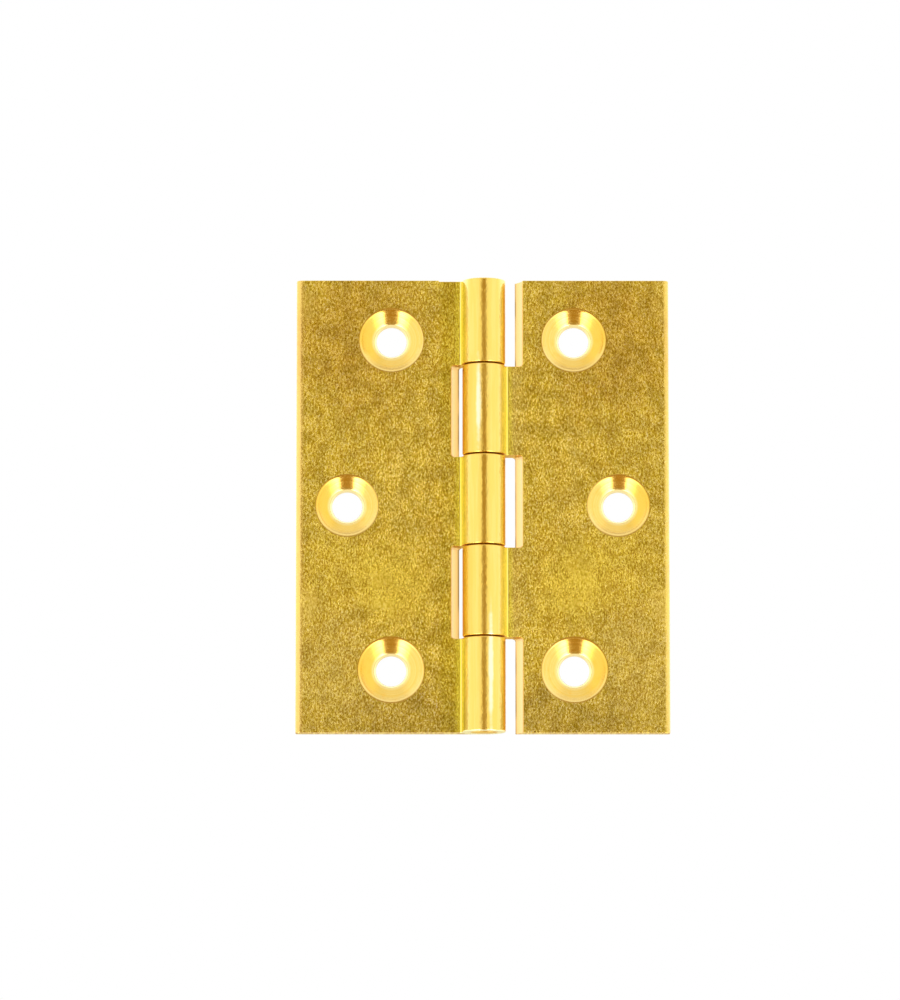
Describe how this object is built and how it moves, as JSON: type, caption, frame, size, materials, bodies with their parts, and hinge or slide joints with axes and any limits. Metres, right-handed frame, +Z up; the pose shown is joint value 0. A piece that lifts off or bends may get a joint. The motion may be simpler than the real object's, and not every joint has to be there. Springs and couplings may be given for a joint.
{
  "type": "butt hinge",
  "caption": "Solid-drawn brass butt hinge: flat rectangular leaves with interleaved knuckles turning on a riveted pin, and staggered countersunk screw holes.",
  "frame": {"origin": "on the pin axis, half way up the leaves, at the middle of the hinge's box", "axes": "+Z up along the pin; leaves open flat in the XZ plane, countersunk faces towards -Y, fixed leaf to -X and swing leaf to +X"},
  "size_m": [0.0519, 0.006, 0.0636],
  "materials": {
    "leaf_brass": "self-coloured drawn brass, fine grain, lightly dulled",
    "pin_brass": "drawn brass wire, ends hammered and faced"
  },
  "bodies": {
    "frame_side": {"fixed_leaf": "leaf_brass", "hinge_pin": "pin_brass"},
    "door_side": {"swing_leaf": "leaf_brass"}
  },
  "joints": [
    {"name": "leaf_swing", "type": "hinge", "parent": "frame_side", "child": "door_side", "pos_m": [0, 0, 0], "axis": [0, 0, -1], "range_deg": [-90, 180]}
  ]
}
